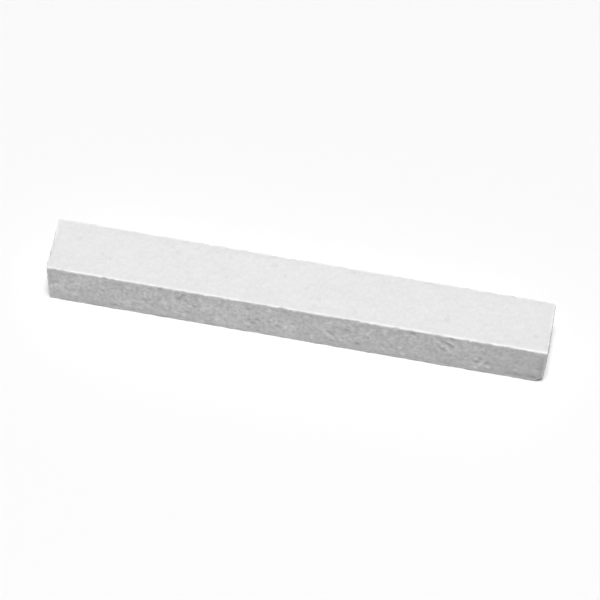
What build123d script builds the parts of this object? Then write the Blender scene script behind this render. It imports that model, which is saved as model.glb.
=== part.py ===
from build123d import *

import os

# A square-section stick of blackboard chalk, made in one piece.
# +X runs along the stick, +Y points to its back face and +Z up.
# The origin is the centre of the underside. All sizes are in millimetres.

length = 100.0  # end face to end face
width = 12.0  # front face to back face
height = 12.0  # underside to top face

arris_radius = 0.5  # soft rounding of the four long edges
end_edge_radius = 0.4  # rounding of the edges round each end face

# Two lower front corners are knocked off. Each leg runs along one edge of the corner,
# from its sharp tip to the break.
right_corner_along = 2.0  # along the stick
right_corner_back = 2.0  # towards the back face
right_corner_up = 2.5  # towards the top face
left_corner_leg = 0.8  # the same along all three edges
broken_edge_radius = 0.2  # soft edge round each break


# The flat break across one corner, facing outwards. Each side is +1 or -1 along its axis,
# and each leg is the length that the break takes off that axis's edge.
def break_plane(sides, legs):
    tip = Vector(sides[0] * length / 2, sides[1] * width / 2, height * (1 + sides[2]) / 2)
    middle = tip - Vector(*(side * leg / 3 for side, leg in zip(sides, legs)))
    outward = Vector(*(side / leg for side, leg in zip(sides, legs)))
    return Plane(origin=middle, z_dir=outward)


def knock_off_corner(stick, sides, legs):
    plane = break_plane(sides, legs)
    reach = 3 * max(legs)
    stick -= plane * Box(reach, reach, reach, align=(Align.CENTER, Align.CENTER, Align.MIN))
    break_face = stick.faces().filter_by(plane)
    return fillet(break_face.edges(), broken_edge_radius)


def chalk_stick():
    stick = Box(length, width, height, align=(Align.CENTER, Align.CENTER, Align.MIN))
    stick = fillet(stick.edges().filter_by(Axis.X), arris_radius)
    end_faces = stick.faces().filter_by(Axis.X)
    stick = fillet(end_faces.edges(), end_edge_radius)
    right_legs = (right_corner_along, right_corner_back, right_corner_up)
    stick = knock_off_corner(stick, (1, -1, -1), right_legs)
    return knock_off_corner(stick, (-1, -1, -1), (left_corner_leg,) * 3)


os.makedirs("parts", exist_ok=True)
export_step(chalk_stick(), "parts/chalk_stick.step")
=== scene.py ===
import math
import random

import bmesh
import bpy
from mathutils import Matrix, Vector, kdtree, noise


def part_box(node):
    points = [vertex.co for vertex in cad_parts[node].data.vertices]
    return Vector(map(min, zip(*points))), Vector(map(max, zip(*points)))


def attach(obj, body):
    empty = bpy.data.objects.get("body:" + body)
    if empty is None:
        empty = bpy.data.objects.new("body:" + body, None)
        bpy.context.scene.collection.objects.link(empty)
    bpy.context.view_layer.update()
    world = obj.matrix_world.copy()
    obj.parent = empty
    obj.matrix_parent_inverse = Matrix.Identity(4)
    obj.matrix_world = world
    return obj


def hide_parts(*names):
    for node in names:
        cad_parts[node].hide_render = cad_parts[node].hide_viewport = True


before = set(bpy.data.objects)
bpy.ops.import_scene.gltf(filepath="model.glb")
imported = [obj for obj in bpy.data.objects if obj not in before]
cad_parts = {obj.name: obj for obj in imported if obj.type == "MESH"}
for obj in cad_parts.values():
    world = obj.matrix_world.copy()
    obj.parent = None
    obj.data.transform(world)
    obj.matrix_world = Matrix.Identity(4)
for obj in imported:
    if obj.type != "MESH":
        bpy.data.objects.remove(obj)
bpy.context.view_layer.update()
stickLow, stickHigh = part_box("chalk_stick")
mm = 0.001
print("frame loaded, the stick measures", [round(side / mm, 2) for side in stickHigh - stickLow], "mm")


# The stick is seen from above, from a little to the right of its middle.
cameraSetup = {
    "azimuth": 7.65,
    "elevation": 60.25,
    "roll": 3.1,
    "distance": 495 * mm,
    "lens": 150,
    "clip": (10 * mm, 20),
}


def addCamera(setup, target):
    azimuth, elevation = math.radians(setup["azimuth"]), math.radians(setup["elevation"])
    back = Vector((
        math.sin(azimuth) * math.cos(elevation),
        -math.cos(azimuth) * math.cos(elevation),
        math.sin(elevation),
    ))
    data = bpy.data.cameras.new("stickCamera")
    data.lens = setup["lens"]
    data.clip_start, data.clip_end = setup["clip"]
    camera = bpy.data.objects.new("stickCamera", data)
    bpy.context.scene.collection.objects.link(camera)
    aim = (-back).to_track_quat("-Z", "Y").to_matrix().to_4x4()
    roll = Matrix.Rotation(math.radians(setup["roll"]), 4, "Z")
    camera.matrix_world = Matrix.Translation(target + back * setup["distance"]) @ aim @ roll
    bpy.context.scene.camera = camera


addCamera(cameraSetup, (stickLow + stickHigh) / 2)
print("camera placed")


# The block is ruled into small squares, so that the wear of the chalk is in its mesh.
blockShape = {
    "gridStep": 0.232 * mm,
    "arrisRadius": 0.46 * mm,
    "arrisSegments": 3,
    "longEnough": 0.99,  # an edge that spans this share of a flat is cut into squares
}


def ruledBlock(low, high, shape):
    block = bmesh.new()
    bmesh.ops.create_cube(block, size=1)
    bmesh.ops.scale(block, vec=high - low, verts=block.verts)
    bmesh.ops.translate(block, vec=(low + high) / 2, verts=block.verts)
    bmesh.ops.bevel(
        block, geom=block.edges[:], offset=shape["arrisRadius"], segments=shape["arrisSegments"],
        profile=0.5, affect="EDGES", material=-1,
    )
    for axis in range(3):
        flat = high[axis] - low[axis] - 2 * shape["arrisRadius"]
        lines = [
            edge for edge in block.edges
            if abs(edge.verts[1].co[axis] - edge.verts[0].co[axis]) > shape["longEnough"] * flat
        ]
        cuts = round(flat / shape["gridStep"]) - 1
        bmesh.ops.subdivide_edges(block, edges=lines, cuts=cuts, use_grid_fill=True)
    bmesh.ops.recalc_face_normals(block, faces=block.faces)
    block.normal_update()
    block.verts.index_update()
    return block


# What drying and handling did to the skin. Every depth is pushed in from the true faces.
skinWear = {
    "sag": 0.06 * mm,  # slow waves along the faces
    "sagLength": 16 * mm,
    "sagShift": (2, 9, 4),  # starts these waves elsewhere in the noise than the mottle
    "mottle": 0.27 * mm,  # the uneven skin of dried chalk
    "mottleLength": 1.1 * mm,
    "mottleLayers": (1.0, 2.0, 3),  # how fast they weaken, how much finer each is, how many
    "drag": 0.7,  # leaving the mould drew the skin of the sides out, up and down
    "arrisWear": 0.26 * mm,  # how far the arrises are rubbed down, at most
    "arrisWearLength": 3.4 * mm,
    "arrisWearShift": (7, 3, 5),
    "arrisWearLayers": (0.5, 2.1, 4),
    "arrisReach": 0.6 * mm,
    "settled": 0.7,  # how much of the unevenness the underside lost, drying on a board
    "fleckHeight": 0.07 * mm,  # crumbs stand this far above the skin round them
    "fullPit": 0.1 * mm,  # a pit this deep gets the full painted shade
    # The last entries darken the colour: a band by the arrises, painted shade low down, and more to the
    # right.
    "darkBandBeside": 0.8,  # a darker band beside the arrises
    "darkBandReach": 1.5 * mm,
    "paintedShadeBelow": 0.3,  # painted shade, darker low down
    "darkTowardsRight": 0.4,  # and darker towards the right end
    "darkRightFrom": 0.0,  # this far along the stick
}


# 1 on an arris or an end edge, and falling to 0 on the open faces. The nearest two faces meet in
# the nearest arris, so the second gap is how far away it is.
def arrisCloseness(point, low, high, reach):
    gaps = sorted(min(point[axis] - low[axis], high[axis] - point[axis]) for axis in range(3))
    return math.exp(-((gaps[1] / reach) ** 2))


# Noise runs to either side of 0, and most of it comes out of this between 0 and 1.
def lifted(value):
    return 0.5 + 0.5 * value


def skinDepth(point, normal, closeness, wear):
    sag = lifted(noise.noise(point / wear["sagLength"] + Vector(wear["sagShift"])))
    drawn = Vector((point.x, point.y, point.z * wear["drag"]))
    mottle = lifted(noise.fractal(drawn / wear["mottleLength"], *wear["mottleLayers"]))
    rubPlace = point / wear["arrisWearLength"] + Vector(wear["arrisWearShift"])
    rub = lifted(noise.fractal(rubPlace, *wear["arrisWearLayers"]))
    depth = wear["sag"] * sag + wear["mottle"] * mottle + wear["arrisWear"] * closeness * max(rub, 0.0)
    return depth * (1 - wear["settled"] * max(-normal.z, 0.0))


# A darker band beside the arrises, painted shade that deepens low down, and darkening towards the
# right end. The arrises themselves are left out.
def darkeningAmount(point, closeness, low, high, wear):
    beside = arrisCloseness(point, low, high, wear["darkBandReach"])
    below = (high.z - point.z) / (high.z - low.z)
    rightward = max(point.x - wear["darkRightFrom"], 0.0) / (high.x - wear["darkRightFrom"])
    amount = (
        wear["darkBandBeside"] * beside
        + wear["paintedShadeBelow"] * below ** 3
        + wear["darkTowardsRight"] * rightward * (1 + below)
    )
    return min(amount * (1 - closeness), 1.0)


# The marks that stand out on the front face, in millimetres. Places are (along, up): how far
# from the stick's middle and how high above its underside. Pits and grooves are sunk and painted
# with shade, darker the deeper they go; flecks and scuffs are pale and stand a little above the skin
# round them.
frontMarks = {
    "pits": [  # place, radius, depth
        ((-38.1, 11.3), 0.7, 0.12), ((-26.9, 10.9), 0.8, 0.17), ((-2.0, 10.5), 0.8, 0.13),
        ((3.0, 10.5), 0.6, 0.1), ((23.3, 10.6), 0.9, 0.2), ((31.0, 10.9), 0.85, 0.18),
        ((42.8, 10.8), 0.6, 0.1), ((-9.3, 9.3), 0.75, 0.14), ((-21.8, 8.2), 0.6, 0.1),
        ((-20.2, 6.6), 0.7, 0.12), ((-38.6, 6.6), 0.7, 0.11), ((-30.4, 5.9), 0.7, 0.11),
        ((-9.2, 5.0), 0.65, 0.13), ((-8.4, 4.0), 0.7, 0.16), ((-7.5, 5.5), 0.65, 0.13),
        ((-9.2, 2.1), 0.7, 0.14), ((-3.4, 4.3), 0.7, 0.13), ((-21.7, 3.8), 0.8, 0.12),
        ((-36.3, 1.4), 0.9, 0.14), ((-32.4, 1.1), 0.7, 0.12), ((-7.4, 1.0), 0.75, 0.14),
        ((10.4, 7.3), 0.7, 0.15), ((12.6, 2.8), 0.9, 0.17), ((7.6, 2.2), 0.7, 0.16),
        ((6.2, 2.9), 0.75, 0.12), ((14.6, 5.8), 0.6, 0.1), ((17.6, 4.1), 0.6, 0.1),
        ((29.3, 9.6), 0.6, 0.13), ((28.8, 7.3), 0.55, 0.1), ((29.4, 6.5), 0.65, 0.13),
        ((37.0, 5.5), 0.7, 0.14), ((36.4, 3.8), 0.75, 0.17), ((38.5, 4.2), 0.75, 0.16),
        ((39.6, 2.2), 0.7, 0.14), ((44.1, 6.0), 0.7, 0.12), ((42.7, 1.4), 0.85, 0.16),
        ((44.7, 1.7), 1.0, 0.18), ((47.4, 1.4), 1.2, 0.22), ((48.6, 5.0), 0.7, 0.13),
    ],
    "grooves": [  # one end, the other end, radius, depth
        ((-22.3, 10.3), (-23.4, 8.2), 0.55, 0.13), ((30.1, 9.2), (31.3, 8.0), 0.6, 0.14),
        ((6.7, 5.9), (7.5, 4.9), 0.55, 0.1), ((43.6, 1.5), (48.0, 1.4), 1.4, 0.07),
        ((49.2, 6.2), (49.3, 2.2), 0.7, 0.12),
    ],
    "flecks": [  # place, radius
        ((-41.0, 10.2), 0.65), ((-38.9, 10.2), 0.75), ((-33.4, 9.5), 0.7), ((-43.4, 7.6), 0.7),
        ((-44.4, 3.2), 0.8), ((-24.0, 3.0), 0.7), ((-22.4, 2.4), 0.9), ((-18.5, 0.9), 0.9),
        ((-9.6, 3.5), 0.65), ((-4.7, 6.5), 0.65), ((-3.6, 5.8), 0.6), ((9.4, 3.2), 0.6),
        ((19.3, 7.4), 0.65), ((18.0, 5.2), 0.6), ((17.7, 2.7), 0.65), ((21.8, 1.9), 0.8),
        ((21.1, 4.2), 0.75), ((22.0, 9.6), 0.7), ((29.4, 8.0), 0.8), ((28.3, 9.2), 0.65),
        ((36.4, 1.8), 0.75), ((38.8, 2.7), 0.9), ((36.2, 5.2), 0.5), ((44.2, 3.5), 0.65),
        ((41.2, 7.0), 0.7),
    ],
    "scuffs": [  # one end, the other end, radius
        ((-49.3, 4.3), (-48.9, 5.4), 0.45), ((-48.4, 5.2), (-48.0, 6.2), 0.45),
        ((-18.9, 10.2), (-18.9, 9.0), 0.55), ((-1.8, 5.3), (-1.9, 4.0), 0.5),
        ((3.5, 3.4), (3.5, 2.0), 0.5), ((6.2, 5.1), (7.6, 3.5), 0.6),
        ((7.3, 10.2), (6.8, 8.9), 0.5), ((15.2, 9.3), (14.4, 6.8), 0.5),
        ((17.9, 10.2), (17.8, 8.3), 0.5), ((30.3, 10.1), (31.4, 9.2), 0.5),
        ((30.2, 7.3), (31.0, 6.2), 0.65), ((37.0, 2.7), (37.8, 4.6), 0.55),
    ],
}

# Marks scattered over the other faces, in the same sizes. The depth of a fleck is its share of
# the full height.
scatteredMarks = {
    "seed": 12,
    "faceCloseness": 0.1,  # a face is what lies below this closeness to an arris
    "arrisCloseness": 0.8,  # and an arris what lies above this one
    "frontNormal": -0.5,  # a normal that points further forward belongs to the front face
    "pits": {"count": 110, "radius": (0.4 * mm, 0.9 * mm), "depth": (0.08 * mm, 0.18 * mm)},
    "flecks": {"count": 110, "radius": (0.4 * mm, 0.8 * mm), "depth": (1, 1)},
    "nicks": {"count": 60, "radius": (0.4 * mm, 1.0 * mm), "depth": (0.05 * mm, 0.2 * mm)},
}


# 1 in the middle of a round mark, and falling softly to 0 at its rim.
def softRound(distance, radius):
    return (1 - (distance / radius) ** 2) ** 2


# A dab adds to the values of the points near its middle, most of all in the middle.
def dab(values, tree, centre, radius, amount):
    for _, index, distance in tree.find_range(centre, radius):
        values[index] += amount * softRound(distance, radius)


# A streak is a dab drawn out from start to end.
def streak(values, tree, start, end, radius, amount):
    steps = math.ceil((end - start).length / (radius / 2))
    shares = {}
    for step in range(steps + 1):
        for _, index, distance in tree.find_range(start.lerp(end, step / steps), radius):
            shares[index] = max(shares.get(index, 0.0), softRound(distance, radius))
    for index, share in shares.items():
        values[index] += amount * share


def markFront(pits, flecks, tree, low, marks):
    def onFront(place):
        along, up = place
        return Vector((along * mm, low.y, low.z + up * mm))

    for place, radius, depth in marks["pits"]:
        dab(pits, tree, onFront(place), radius * mm, depth * mm)
    for start, end, radius, depth in marks["grooves"]:
        streak(pits, tree, onFront(start), onFront(end), radius * mm, depth * mm)
    for place, radius in marks["flecks"]:
        dab(flecks, tree, onFront(place), radius * mm, 1)
    for start, end, radius in marks["scuffs"]:
        streak(flecks, tree, onFront(start), onFront(end), radius * mm, 1)


def scatterMarks(pits, flecks, tree, points, normals, closeness, marks):
    rng = random.Random(marks["seed"])
    faces = [
        i for i, near in enumerate(closeness)
        if near < marks["faceCloseness"] and normals[i].y > marks["frontNormal"]
    ]
    arrises = [i for i, near in enumerate(closeness) if near > marks["arrisCloseness"]]
    for name, values, places in (
        ("pits", pits, faces), ("flecks", flecks, faces), ("nicks", pits, arrises),
    ):
        for _ in range(marks[name]["count"]):
            size = rng.random() ** 2  # most are small
            radius, amount = (
                low + (high - low) * size for low, high in (marks[name]["radius"], marks[name]["depth"])
            )
            dab(values, tree, points[rng.choice(places)], radius, amount)


# Two lower front corners are knocked off across a flat, rough break. The legs are how much each
# break takes off the three edges: along the stick, towards the back and up.
cornerBreaks = {
    "right": {"side": 1, "legs": (2.1 * mm, 2.1 * mm, 2.6 * mm)},
    "left": {"side": -1, "legs": (0.9 * mm, 0.9 * mm, 0.9 * mm)},
    "roughness": 0.05 * mm,
    "roughLength": 0.5 * mm,
}


# What lies beyond the plane of the break is pushed back onto it.
def breakCorner(block, low, high, corner, breaks):
    side, legs = corner["side"], corner["legs"]
    tip = Vector((high.x if side > 0 else low.x, low.y, low.z))
    outward = Vector((side / legs[0], -1 / legs[1], -1 / legs[2])).normalized()
    limit = outward.dot(tip - Vector((side * legs[0], 0, 0)))
    for vert in block.verts:
        beyond = vert.co.dot(outward) - limit
        if beyond > 0:
            rough = breaks["roughness"] * noise.noise(vert.co / breaks["roughLength"])
            vert.co -= outward * (beyond + rough)


def chalkStick(low, high):
    block = ruledBlock(low, high, blockShape)
    points = [vert.co.copy() for vert in block.verts]
    normals = [vert.normal.copy() for vert in block.verts]
    closeness = [arrisCloseness(point, low, high, skinWear["arrisReach"]) for point in points]
    tree = kdtree.KDTree(len(points))
    for i, point in enumerate(points):
        tree.insert(point, i)
    tree.balance()

    pits, flecks = [0.0] * len(points), [0.0] * len(points)
    markFront(pits, flecks, tree, low, frontMarks)
    scatterMarks(pits, flecks, tree, points, normals, closeness, scatteredMarks)
    for i, vert in enumerate(block.verts):
        depth = skinDepth(points[i], normals[i], closeness[i], skinWear) + pits[i]
        depth -= skinWear["fleckHeight"] * min(flecks[i], 1.0)
        vert.co -= normals[i] * max(depth, 0.0)
    for name in ("right", "left"):
        breakCorner(block, low, high, cornerBreaks[name], cornerBreaks)

    mesh = bpy.data.meshes.new("chalkStick")
    block.to_mesh(mesh)
    block.free()
    mesh.shade_smooth()
    for name, values in (
        ("arris", closeness),
        # Painted shade in the pits, grooves and nicks, darker the deeper they are.
        ("pit", [min(depth / skinWear["fullPit"], 1.0) for depth in pits]),
        ("fleck", [min(fleck, 1.0) for fleck in flecks]),
        # Painted shade low down, with a darker band by the arrises and towards the right end.
        ("darkening", [
            darkeningAmount(point, near, low, high, skinWear) for point, near in zip(points, closeness)
        ]),
        ("upward", [normal.z for normal in normals]),
    ):
        mesh.attributes.new(name, "FLOAT", "POINT").data.foreach_set("value", values)
    stick = bpy.data.objects.new("chalkStick", mesh)
    bpy.context.scene.collection.objects.link(stick)
    return stick


stick = chalkStick(stickLow, stickHigh)
print("stick modelled,", sum(len(face.vertices) - 2 for face in stick.data.polygons), "triangles")


# Matt white chalk. The size of a pattern is the length of its grains, and its detail is how many
# finer layers it has. The range that shows is spread over the range of amounts.
chalkFinish = {
    "shade": 0.79,
    "paintedSideShade": 0.73,  # painted shade: the sides are coloured greyer than the top
    "dustShade": 0.9,  # fresh powder on the rubbed arrises
    "darkGrainAndShade": 0.46,  # the darker grains and bands, and the painted shade in the pits and low down
    "clouds": {"size": 4.5 * mm, "detail": 2, "shows": (0.35, 0.65), "amount": (0.0, 0.32)},
    "mottle": {"size": 0.75 * mm, "detail": 3, "shows": (0.38, 0.66), "amount": (0.0, 0.62)},
    "grain": {"size": 0.35 * mm, "detail": 2, "shows": (0.42, 0.72), "amount": (0.0, 0.36)},
    "dust": {"size": 2.5 * mm, "detail": 2, "shows": (0.35, 0.6), "amount": (0.35, 1.0)},
    "dullness": {"size": 0.75 * mm, "detail": 2, "shows": (0.3, 0.7), "amount": (0.88, 1.0)},
    "patternRoughness": 0.55,
    "sides": {"shows": (0.2, 0.9), "amount": (1.0, 0.15)},  # the top shows little of the marks or of the painted side shade
    "dustOnArris": {"shows": (0.1, 0.8), "amount": (0.0, 1.0)},
    "dustOnTop": {"shows": (0.35, 0.7), "amount": (0.3, 1.0)},  # less clings to what faces down
    "darkeningAmount": 0.6,
    "fleckAmount": 0.45,
    "specular": 0.2,
    "bump": {"size": 0.35 * mm, "detail": 3, "roughness": 0.6, "depth": 0.02 * mm},
}


def chalkMaterial(finish, drag):
    material = bpy.data.materials.new("dryWhiteChalk")
    material.use_nodes = True
    nodes, links = material.node_tree.nodes, material.node_tree.links
    shader = nodes["Principled BSDF"]
    where = nodes.new("ShaderNodeTexCoord").outputs["Object"]
    stretch = nodes.new("ShaderNodeMapping")
    stretch.inputs["Scale"].default_value = (1, 1, drag)
    links.new(where, stretch.inputs["Vector"])
    drawn = stretch.outputs["Vector"]

    # A socket takes either a fixed value or what comes out of another node.
    def feed(socket, value):
        if isinstance(value, bpy.types.NodeSocket):
            links.new(value, socket)
        else:
            socket.default_value = value

    def grey(shade):
        return (shade, shade, shade, 1)

    def attribute(name):
        node = nodes.new("ShaderNodeAttribute")
        node.attribute_name = name
        return node.outputs["Fac"]

    def pattern(setup, roughness=finish["patternRoughness"], vector=where):
        node = nodes.new("ShaderNodeTexNoise")
        node.inputs["Scale"].default_value = 1 / setup["size"]
        node.inputs["Detail"].default_value = setup["detail"]
        node.inputs["Roughness"].default_value = roughness
        links.new(vector, node.inputs["Vector"])
        return node.outputs["Fac"]

    def spread(value, setup):
        node = nodes.new("ShaderNodeMapRange")
        node.interpolation_type = "SMOOTHSTEP"
        links.new(value, node.inputs["Value"])
        node.inputs["From Min"].default_value, node.inputs["From Max"].default_value = setup["shows"]
        node.inputs["To Min"].default_value, node.inputs["To Max"].default_value = setup["amount"]
        return node.outputs["Result"]

    def times(first, second):
        node = nodes.new("ShaderNodeMath")
        node.operation = "MULTIPLY"
        feed(node.inputs[0], first)
        feed(node.inputs[1], second)
        return node.outputs["Value"]

    def mixShade(amount, under, over):
        node = nodes.new("ShaderNodeMix")
        node.data_type = "RGBA"
        links.new(amount, node.inputs["Factor"])
        feed(node.inputs["A"], under)
        feed(node.inputs["B"], over)
        return node.outputs["Result"]

    sides = spread(attribute("upward"), finish["sides"])
    # Painted shade: the sides get a greyer colour than the top.
    colour = mixShade(sides, grey(finish["shade"]), grey(finish["paintedSideShade"]))
    for amount in (
        spread(pattern(finish["clouds"]), finish["clouds"]),
        spread(pattern(finish["mottle"], vector=drawn), finish["mottle"]),
        spread(pattern(finish["grain"], vector=drawn), finish["grain"]),
        # painted shade in the pits
        attribute("pit"),
        # painted shade low down, and the darker band by the arrises and the right end
        times(attribute("darkening"), finish["darkeningAmount"]),
    ):
        colour = mixShade(times(amount, sides), colour, grey(finish["darkGrainAndShade"]))

    flecks = times(times(attribute("fleck"), finish["fleckAmount"]), sides)
    colour = mixShade(flecks, colour, grey(finish["dustShade"]))
    onArris = spread(attribute("arris"), finish["dustOnArris"])
    onTop = spread(attribute("upward"), finish["dustOnTop"])
    dust = times(times(onArris, onTop), spread(pattern(finish["dust"]), finish["dust"]))
    colour = mixShade(dust, colour, grey(finish["dustShade"]))
    links.new(colour, shader.inputs["Base Color"])

    dullness = spread(pattern(finish["dullness"]), finish["dullness"])
    links.new(dullness, shader.inputs["Roughness"])
    shader.inputs["Specular IOR Level"].default_value = finish["specular"]
    bump = nodes.new("ShaderNodeBump")
    bump.inputs["Strength"].default_value = 1.0
    bump.inputs["Distance"].default_value = finish["bump"]["depth"]
    links.new(pattern(finish["bump"], finish["bump"]["roughness"]), bump.inputs["Height"])
    links.new(bump.outputs["Normal"], shader.inputs["Normal"])
    return material


stick.data.materials.append(chalkMaterial(chalkFinish, skinWear["drag"]))
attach(stick, "root")
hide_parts("chalk_stick")
print("stick finished in dry white chalk")


# A round pale floor that curves up into a low wall all round.
floorSetup = {
    "flatRadius": 1.1,
    "curveRadius": 0.3,
    "curveSteps": 24,
    "roundSteps": 128,
    "mergeWithin": 0.01 * mm,
    "shade": 0.9,
    "roughness": 0.9,
    "specular": 0.1,
}


def addFloor(setup):
    bowl = bmesh.new()
    flat, curve = setup["flatRadius"], setup["curveRadius"]
    middle, turn = bowl.verts.new((0, 0, 0)), bowl.verts.new((flat, 0, 0))
    bowl.edges.new((middle, turn))
    bmesh.ops.spin(
        bowl, geom=[turn], cent=(flat, 0, curve), axis=(0, -1, 0), angle=math.pi / 2,
        steps=setup["curveSteps"],
    )
    bmesh.ops.spin(
        bowl, geom=bowl.verts[:] + bowl.edges[:], cent=(0, 0, 0), axis=(0, 0, 1), angle=2 * math.pi,
        steps=setup["roundSteps"], use_merge=True,
    )
    bmesh.ops.remove_doubles(bowl, verts=bowl.verts, dist=setup["mergeWithin"])
    bmesh.ops.recalc_face_normals(bowl, faces=bowl.faces)
    mesh = bpy.data.meshes.new("paleFloor")
    bowl.to_mesh(mesh)
    bowl.free()
    mesh.shade_smooth()
    floor = bpy.data.objects.new("paleFloor", mesh)
    bpy.context.scene.collection.objects.link(floor)
    paint = bpy.data.materials.new("paleFloorPaint")
    paint.use_nodes = True
    shader = paint.node_tree.nodes["Principled BSDF"]
    shader.inputs["Base Color"].default_value = (setup["shade"],) * 3 + (1,)
    shader.inputs["Roughness"].default_value = setup["roughness"]
    shader.inputs["Specular IOR Level"].default_value = setup["specular"]
    mesh.materials.append(paint)
    return floor


addFloor(floorSetup)
print("floor laid")


# One soft lamp hangs high above the stick, a little in front of it. It grazes the front face,
# which is lit mostly by the floor, and so its relief shows. The sky softens the shadows.
lightSetup = {
    "place": (0.04, -0.22, 1.8),
    "size": 0.5,
    "watts": 33.65,
    "skyStrength": 0.04,
}


def addLights(setup, target):
    data = bpy.data.lights.new("overheadLamp", "AREA")
    data.shape = "DISK"
    data.size = setup["size"]
    data.energy = setup["watts"]
    lamp = bpy.data.objects.new("overheadLamp", data)
    bpy.context.scene.collection.objects.link(lamp)
    lamp.location = setup["place"]
    lamp.rotation_euler = (target - lamp.location).to_track_quat("-Z", "Y").to_euler()

    sky = bpy.data.worlds.new("softSky")
    sky.use_nodes = True
    background = sky.node_tree.nodes["Background"]
    background.inputs["Color"].default_value = (1, 1, 1, 1)
    background.inputs["Strength"].default_value = setup["skyStrength"]
    bpy.context.scene.world = sky
    bpy.context.scene.view_settings.view_transform = "Standard"


addLights(lightSetup, (stickLow + stickHigh) / 2)
print("lights hung")
